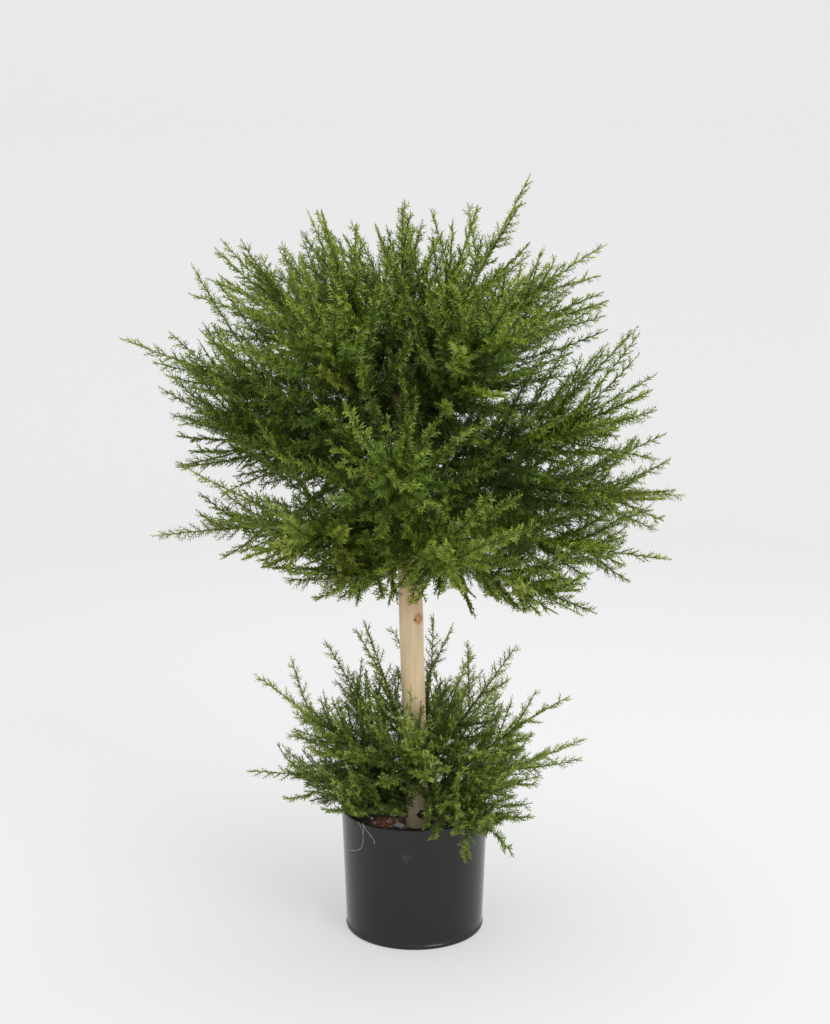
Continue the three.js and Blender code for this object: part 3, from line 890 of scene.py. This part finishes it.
# One entry a course, in the order of COURSES
IN_SKIRT = np.array([name.startswith("skirt") for name in COURSE_NAMES])
HANG = np.array([HANGING.get(name, 0.0) for name in COURSE_NAMES])
LOW_TOP = np.array([LOW_TOPS.get(name, np.inf) for name in COURSE_NAMES])


def body_share(points, owner):
    """How far out each point lies in its crown's or skirt's body: 0 inmost, 1 at its edge."""
    skirt = IN_SKIRT[owner][:, None]
    offset = points - np.where(skirt, SKIRT_MIDDLE, CROWN_MIDDLE)
    offset[:, 2] -= np.where(skirt[:, 0], 0, offset[:, 0] * CROWN_SLANT)
    scaled = np.abs(offset / np.where(skirt, SKIRT_SIZE, CROWN_SIZE))
    return (scaled ** BODY_ROUNDNESS).sum(1) ** (1 / BODY_ROUNDNESS)


def above_underside(points, owner):
    """Which points keep above their crown's or skirt's flat underside, and under a low top."""
    height, outwards, frontwards = np.where(
        IN_SKIRT[owner], np.array(SKIRT_UNDERSIDE)[:, None], np.array(CROWN_UNDERSIDE)[:, None])
    out = np.hypot(points[:, 0], points[:, 1])
    bottom = height + outwards * out - frontwards * points[:, 1] - HANG[owner]
    return (points[:, 2] > bottom) & (points[:, 2] < LOW_TOP[owner])


def width_along(share):
    """How far side sprays reach along a mass: longest past the middle."""
    swell = math.sin(math.pi * (WIDTH_START + share * WIDTH_RUN)) ** WIDTH_FULLNESS
    return WIDTH_LEAST + (1 - WIDTH_LEAST) * swell


def between(ends, share):
    return ends[0] + (ends[1] - ends[0]) * share


def side_sprays(course, start, end, count, longest, openings, draw):
    """Sprays round the stem by the golden angle, leaning forward more towards its end."""
    first_turn = FULL_TURN * draw()
    sprays = []
    for index in range(count):
        share = (index + 0.5) / count
        along = between((start, end), between(SPRAY_ZONE, share))
        root, ahead = course_points(course, [along, along + 0.001])
        forward = unit(ahead - root)
        level, upright = across_of(forward)
        around = first_turn + GOLDEN_TURN * index
        opening = math.radians(between(openings, share))
        heading = (forward * math.cos(opening)
                   + level * math.sin(opening) * math.cos(around)
                   + upright * math.sin(opening) * math.sin(around))
        length = longest * width_along(share) * between(SPRAY_LENGTH_SPREAD, draw())
        roll = math.pi * draw()
        bend = between(SPRAY_BEND, draw())
        sprays.append(dict(root=root, heading=heading, length=length, roll=roll, bend=bend))
    return sprays


def swung(first, second, angle):
    """The direction at an angle from the first of two square ones towards the second."""
    angle = angle[..., None]
    return first * np.cos(angle) + second * np.sin(angle)


def rolled_side(heading, roll):
    return swung(*across_of(heading), roll)


def spray_outline(spray, length):
    """The outer points of a toothed spray in the model: its teeth's tips and its rib."""
    side = rolled_side(spray["heading"], np.array(spray["roll"]))
    teeth = max(2, math.floor(length / TOOTH_SPACING + 0.5) - 1)
    share = (np.arange(teeth + 3) / (teeth + 2))[:, None]
    rib = spray["root"] + spray["heading"] * length * share + UP * spray["bend"] * share ** 2
    tooth = length * TOOTH_SHARE * (1 - TOOTH_TAPER * np.arange(teeth) / teeth)[:, None]
    middle = (rib[1:teeth + 1] + rib[2:teeth + 2]) / 2 + spray["heading"] * tooth * TOOTH_FORWARD
    return np.concatenate([middle + side * tooth, middle - side * tooth, rib[1:]])


def longest_fitting(spray, tries, shortest, fits):
    """The longest tried length at which a spray fits, or None where it would be too short."""
    for portion in tries:
        length = spray["length"] * portion
        if length < shortest:
            return None
        if fits(length):
            return length
    return None


def fitted_length(spray, owner):
    """The longest of the source's lengths at which its spray keeps to its own space."""
    def fits(length):
        outline = spray_outline(spray, length)
        owners = np.full(len(outline), owner)
        return (in_own_space(outline, owners, SPACE_MARGIN).all()
                and above_underside(outline[-1:], owners[-1:]).all())

    return longest_fitting(spray, SPRAY_TRIES, SHORTEST_SPRAY, fits)


def fitted_finer_length(spray, owner, looseness):
    """As above for a finer twig, which also stays within its crown's rounded body."""
    share = np.arange(1, RIB_STATIONS + 1)[:, None] / RIB_STATIONS
    owners = np.full(RIB_STATIONS, owner)

    def fits(length):
        rib = spray["root"] + spray["heading"] * length * share + UP * spray["bend"] * share ** 2
        return (in_own_space(rib, owners, FINER_MARGIN).all()
                and above_underside(rib[-1:], owners[-1:]).all()
                and body_share(rib, owners).max() < looseness)

    return longest_fitting(spray, FINER_TRIES, SHORTEST_FINER_TWIG, fits)


# Finer growth

@dataclass
class Shoots:
    """Many shoots at once: each runs from its root along its heading and bends by its curve."""

    root: np.ndarray
    heading: np.ndarray
    side: np.ndarray
    curve: np.ndarray
    length: np.ndarray
    owner: np.ndarray
    tone: np.ndarray
    hue: np.ndarray

    def at(self, index, share):
        share = share[..., None]
        return (self.root[index] + self.heading[index] * self.length[index, None] * share
                + self.curve[index] * share ** 2)

    def along(self, index, share):
        reach = self.heading[index] * self.length[index, None]
        return unit(reach + 2 * self.curve[index] * share[..., None])

    def points(self, share):
        """The point of every shoot at one share of its length."""
        return self.at(np.arange(len(self)), np.full(len(self), share))

    def taken(self, chosen):
        return Shoots(*(getattr(self, field.name)[chosen] for field in fields(self)))

    def __len__(self):
        return len(self.length)


def joined_shoots(several):
    return Shoots(*(np.concatenate([getattr(each, field.name) for each in several])
                    for field in fields(Shoots)))


def curl(rng, heading, length, amount):
    """A sideways bend at the tip, in a random direction square to the heading."""
    around = rng.uniform(0, FULL_TURN, len(length))
    size = rng.normal(0, amount, len(length)) * length
    return rolled_side(heading, around) * size[:, None]


def stem_span(course):
    """Where a mass's own stem starts and ends along its course."""
    start = course["bare"] + TOUCHING_GAP if course["bare"] > 0 else 0
    reach = course["reach"]
    return start, reach - reach * END_SPRAY_SHARE + STEM_IN_END_SPRAY


def stretch_of(course, start, end):
    """The root, heading, curve and length of a stretch of a course as one shoot."""
    _, run, bow = course_lines(course)
    ahead = run + 2 * bow * start / course["reach"] ** 2
    curve = bow * ((end - start) / course["reach"]) ** 2
    return course_points(course, start), unit(ahead), curve, (end - start) * np.linalg.norm(ahead)


def grown_twigs(rng):
    """The source's own sprays as twigs, finer twigs between them, and each mass's leader."""
    rows = []
    for owner, course in enumerate(COURSES):
        draw, reach = course["draw"], course["reach"]
        start, stem_end = stem_span(course)
        sprays = side_sprays(course, start, stem_end, course["sprays"], course["half_width"],
                             SPRAY_OPENING, draw)
        leader_roll = math.pi * draw()
        finer_count = round(course["sprays"] * FINER_TWIGS[course["name"].split("_")[0]]
                            * FULLER.get(course["name"], 1))
        finer = side_sprays(course, FINER_START, stem_end, finer_count,
                            course["half_width"] * FINER_LENGTH, FINER_OPENING, draw)
        fitted = [(spray, fitted_length(spray, owner)) for spray in sprays]
        fitted += [(spray, fitted_finer_length(spray, owner, between(BODY_LOOSENESS, draw())))
                   for spray in finer]
        rows += [(spray["root"], spray["heading"], UP * spray["bend"], length, spray["roll"],
                  owner) for spray, length in fitted if length]
        rows.append((*stretch_of(course, reach * (1 - LEADER_SHARE), reach), leader_roll, owner))
    root, heading, curve, length, roll, owner = (np.array(column) for column in zip(*rows))
    curve = curve + curl(rng, heading, length, TWIG_CURL / 2)
    return Shoots(root, heading, rolled_side(heading, roll), curve, length, owner,
                  rng.normal(0, 1, len(length)), rng.uniform(0, 1, len(length)))


def square_to(forward, side):
    """A side turned square to its heading, and the ridge that is square to both."""
    side = unit(side - forward * (side * forward).sum(-1, keepdims=True))
    return side, np.cross(forward, side)


def dealt_out(counts):
    """Numbers many small things: whose each one is, and its place among its own."""
    whose = np.repeat(np.arange(len(counts)), counts)
    return whose, np.arange(len(whose)) - np.repeat(np.cumsum(counts) - counts, counts)


def branched(parents, spacing, zone, opening, lengths_of, curl_share, rng):
    """Shoots set alternately along their parents in loose flat fans."""
    span = parents.length * (zone[1] - zone[0])
    counts = np.maximum(np.round(span / spacing).astype(int), 1)
    parent, order = dealt_out(counts)
    many = len(parent)
    inner = (order + rng.uniform(*SPRIG_PLACE_SPREAD, many)) / counts[parent]
    share = between(zone, inner)
    forward = parents.along(parent, share)
    side, ridge = square_to(forward, parents.side[parent])
    out = swung(side, ridge, math.pi * order + rng.normal(0, SPRIG_FAN, many))
    angle = between(opening, share) + rng.normal(0, SPRIG_OPENING_SPREAD, many)
    heading = unit(swung(forward, out, np.radians(angle)))
    length = lengths_of(parents.length[parent], share) * rng.uniform(*SPRIG_LENGTH_SPREAD, many)
    curve = (curl(rng, heading, length, curl_share)
             + forward * (length * curl_share)[:, None])
    tone = parents.tone[parent] + rng.normal(0, SPRIG_TONE_SPREAD, many)
    return Shoots(parents.at(parent, share), heading, unit(np.cross(ridge, heading)), curve,
                  length, parents.owner[parent], tone, parents.hue[parent])


def kept_in_space(shoots):
    """Shoots shortened until their tips keep to their mass's space, or left out."""
    kept = []
    for portion in SPRIG_TRIES:
        tried = replace(shoots, curve=shoots.curve * portion, length=shoots.length * portion)
        tips = tried.points(1.0)
        fits = (in_own_space(tips, tried.owner, SPRIG_REACH_OVER)
                & above_underside(tips, tried.owner))
        kept.append(tried.taken(fits & (tried.length > SPRIG_SHORTEST * SPRIG_LEAST_SHARE)))
        shoots = shoots.taken(~fits)
    return joined_shoots(kept)


def sprig_length(parent_length, share):
    longest = np.minimum(parent_length * SPRIG_SHARE, SPRIG_LONGEST)
    return np.maximum(longest * (1 - SPRIG_TAPER * share), SPRIG_SHORTEST)


def spriglet_length(parent_length, share):
    return np.maximum(parent_length * SPRIGLET_SHARE * (1 - SPRIGLET_TAPER * share),
                      SPRIG_SHORTEST)


def shoot_tubes(shoots, radii, sides, rings):
    """Closed tapering tubes along shoots, each ending in a point."""
    each = np.arange(len(shoots))
    points = []
    for ring in range(rings):
        share = ring / rings
        forward = shoots.along(each, np.full(len(shoots), share))
        side, ridge = square_to(forward, shoots.side)
        radius = between(radii, share)
        middle = shoots.points(share)
        for corner in range(sides):
            angle = FULL_TURN * corner / sides
            points.append(middle + radius * (side * math.cos(angle) + ridge * math.sin(angle)))
    points.append(shoots.points(1.0))
    return np.stack(points, axis=1), tube_faces(sides, rings)


def blunt_tubes(shoots, radii, sides, rings):
    """As above, but thick almost up to the point, as a cut stem is."""
    tip = radii[0] + (radii[1] - radii[0]) * rings / (rings - 0.5)
    return shoot_tubes(shoots, (radii[0], tip), sides, rings)


def tube_faces(sides, rings):
    faces = [(0, corner + 1, corner) for corner in range(1, sides - 1)]
    for ring in range(rings - 1):
        for corner in range(sides):
            a, b = ring * sides + corner, ring * sides + (corner + 1) % sides
            faces += [(a, b, b + sides), (a, b + sides, a + sides)]
    last = (rings - 1) * sides
    tip = rings * sides
    faces += [(last + corner, last + (corner + 1) % sides, tip) for corner in range(sides)]
    return np.array(faces)


NEEDLE_FACES = np.array([(0, 1, 2), (0, 2, 3)])


def needles_on(shoots, spacing, width, rng):
    """Awl-like needles in opposite pairs, tilted up and down by turns, each folded at its keel."""
    counts = np.maximum(np.round(shoots.length / spacing).astype(int), 3)
    shoot, order = dealt_out(counts)
    many = len(shoot)
    pair = order // 2
    share = (2 * pair + 1) / (counts[shoot] + 1)
    forward = shoots.along(shoot, share)
    side, ridge = square_to(forward, shoots.side[shoot])
    tilt = NEEDLE_LIFT * (-1.0) ** pair
    out = swung(side, ridge, math.pi * order + tilt + rng.normal(0, NEEDLE_AROUND_SPREAD, many))
    angle = between(NEEDLE_OPENING, share ** 3) + rng.normal(0, NEEDLE_OPENING_SPREAD, many)
    direction = unit(swung(forward, out, np.radians(angle)))
    broad = unit(np.cross(forward, out))
    thick = np.cross(direction, broad)
    length = between(NEEDLE_LENGTHS, share) * (1 + rng.normal(0, NEEDLE_LENGTH_SPREAD, many))
    root = shoots.at(shoot, share)
    tip = root + direction * length[:, None]
    slim = between(NEEDLE_SLIMMING, share)[:, None]
    edge = root + (tip - root) * NEEDLE_BROADEST + thick * NEEDLE_KEEL * slim
    half = broad * width / 2 * slim
    return np.stack([root, edge + half, tip, edge - half], axis=1), shoot


# Tints: painted light and shade, a needle brighter the farther out its spray stands, its hue by its
# twig

# deep tints are painted shade inside the crown, fresh and bright ones painted light at its edge;
# cool, warm and olive are the plastic's own hues
CROWN_TINTS = {
    "deep_cool": (0.056, 0.098, 0.006),
    "deep_warm": (0.068, 0.102, 0.003),
    "mid_cool": (0.108, 0.176, 0.010),
    "mid_warm": (0.124, 0.184, 0.008),
    "fresh_cool": (0.200, 0.278, 0.028),
    "fresh_warm": (0.220, 0.282, 0.024),
    "bright": (0.290, 0.350, 0.058),
    "olive": (0.176, 0.206, 0.014),
}
# lighter than the crown's tints: painted light against the crown's shade on the skirt
SKIRT_TINTS = {
    "deep_cool": (0.090, 0.134, 0.014),
    "mid_cool": (0.192, 0.264, 0.031),
    "fresh_cool": (0.305, 0.384, 0.064),
    "bright": (0.365, 0.430, 0.100),
}
# how far out a spray stands sets its painted shade or painted light
DEEP_LIMIT, MID_LIMIT, BRIGHT_LIMIT = 0.52, 0.78, 1.04
WARM_SHARE = 0.5
OLIVE_SHARE = 0.03
TONE_SPREAD = 0.10
# painted shade: front and back sprays count as deeper in than the sides
FRONT_PAINTED_SHADE_SCALE = 0.8
TINT_PLACE = 0.6
# painted shade on the skirt's low sprays
LOW_SKIRT_SHADE = 0.46


def tints_of(shoots):
    """The tint name of every shoot: painted shade deep in, painted light far out, hue by its twig.
    """
    skirt = IN_SKIRT[shoots.owner]
    middle = shoots.points(TINT_PLACE)
    # painted shade on front and back sprays
    middle[:, 1] *= FRONT_PAINTED_SHADE_SCALE
    out = body_share(middle, shoots.owner) + shoots.tone * TONE_SPREAD
    # painted shade: low sprays of the skirt count as deeper in
    low = np.clip((SKIRT_MIDDLE[2] - middle[:, 2]) / SKIRT_SIZE[2], 0, 1)
    out -= np.where(skirt, low * LOW_SKIRT_SHADE, 0)
    depth = np.where(out < DEEP_LIMIT, "deep", np.where(out < MID_LIMIT, "mid", "fresh"))
    hue = np.where((shoots.hue < WARM_SHARE) & ~skirt, "_warm", "_cool")
    tint = np.char.add(depth, hue).astype("U12")
    tint[out > BRIGHT_LIMIT] = "bright"
    tint[(shoots.hue > 1 - OLIVE_SHARE) & (out > DEEP_LIMIT) & ~skirt] = "olive"
    return tint


def nodes_of(part):
    return [f"{name}_mass" for name in COURSE_NAMES if name.startswith(part)]


def pieces_of(name, corners, faces, material, slot, nodes):
    """Joins many small shapes into as few pieces as the triangle limit allows."""
    most = MOST_TRIANGLES // len(faces)
    parts = max(1, math.ceil(len(corners) / most))
    for number, some in enumerate(np.array_split(corners, parts)):
        shift = np.arange(len(some))[:, None, None] * corners.shape[1]
        mesh = mesh_from_arrays(name if parts == 1 else f"{name}_{number + 1}",
                                some.reshape(-1, 3), (faces[None] + shift).reshape(-1, 3))
        dressed(mesh, material, slot, *nodes)


def stretches(spans):
    """Stretches of courses as shoots, from their owners, starts and ends."""
    rows = [(*stretch_of(COURSES[owner], start, end), owner) for owner, start, end in spans]
    root, heading, curve, length, owner = (np.array(column) for column in zip(*rows))
    still = np.zeros(len(rows))
    return Shoots(root, heading, rolled_side(heading, still), curve, length, owner, still, still)


def stems_and_boughs():
    """Each bough's bare stem, and each mass's own stem."""
    dark = mottled_plastic("stem_plastic", (0.018, 0.020, 0.009), (0.045, 0.050, 0.020),
                           0.45, 0.65, 200)
    boughs = [(owner, BOUGH_START, course["bare"] + BOUGH_OVERLAP)
              for owner, course in enumerate(COURSES) if course["bare"] > 0]
    bough_nodes = [f"{COURSE_NAMES[owner]}_bough" for owner, _, _ in boughs]
    pieces_of("bough_stems", *blunt_tubes(stretches(boughs), *BOUGH_TUBE), dark, "stems",
              bough_nodes)
    stems = [(owner, *stem_span(course)) for owner, course in enumerate(COURSES)]
    pieces_of("mass_stems", *blunt_tubes(stretches(stems), *STEM_TUBE), dark, "stems",
              nodes_of("crown") + nodes_of("skirt"))


def needle_sprays(part, shoots_by_spacing, slot, nodes, rng):
    """A part's needles, dealt out to one piece or more for each tint."""
    corners, tints = [], []
    for shoots, spacing in shoots_by_spacing:
        made, shoot = needles_on(shoots, spacing, NEEDLE_WIDTHS[part], rng)
        corners.append(made)
        tints.append(tints_of(shoots)[shoot])
    corners, tints = np.concatenate(corners), np.concatenate(tints)
    for tint, colour in (CROWN_TINTS if part == "crown" else SKIRT_TINTS).items():
        pieces_of(f"{part}_needles_{tint}", corners[tints == tint], NEEDLE_FACES,
                  needle_plastic(f"{part}_{tint}", colour), slot, nodes)


def foliage():
    rng = np.random.default_rng(FINE_SEED)
    all_twigs = grown_twigs(rng)
    all_sprigs = kept_in_space(branched(all_twigs, SPRIG_SPACING, SPRIG_ZONE, SPRIG_OPENING,
                                        sprig_length, SPRIG_CURL, rng))
    long_sprigs = all_sprigs.taken(all_sprigs.length > SPRIGLET_PARENT)
    all_spriglets = kept_in_space(branched(long_sprigs, SPRIGLET_SPACING, SPRIGLET_ZONE,
                                           SPRIG_OPENING, spriglet_length, SPRIG_CURL, rng))
    stems_and_boughs()
    twig_green = mottled_plastic("twig_plastic", (0.048, 0.076, 0.014), (0.085, 0.128, 0.022),
                                 0.45, 0.65, 160)
    sprig_green = needle_plastic("sprig_plastic", (0.075, 0.142, 0.028))
    for part, slot in (("crown", "crown_foliage"), ("skirt", "skirt_foliage")):
        nodes = nodes_of(part)
        twigs, sprigs, spriglets = (shoots.taken(IN_SKIRT[shoots.owner] == (part == "skirt"))
                                    for shoots in (all_twigs, all_sprigs, all_spriglets))
        for kind, shoots, tube, green in (("twigs", twigs, TWIG_TUBE, twig_green),
                                          ("sprigs", sprigs, SPRIG_TUBE, sprig_green),
                                          ("spriglets", spriglets, SPRIGLET_TUBE, sprig_green)):
            pieces_of(f"{part}_{kind}", *shoot_tubes(shoots, *tube), green, "stems", nodes)
        needle_sprays(part, ((twigs, TWIG_NEEDLE_SPACING), (sprigs, NEEDLE_SPACING),
                             (spriglets, NEEDLE_SPACING)), slot, nodes, rng)


studio()
photograph_camera()
pot_shell()
cast_fill_body()
fill_beads()
hot_glue()
peeled_pole()
cut_stubs()
foliage()
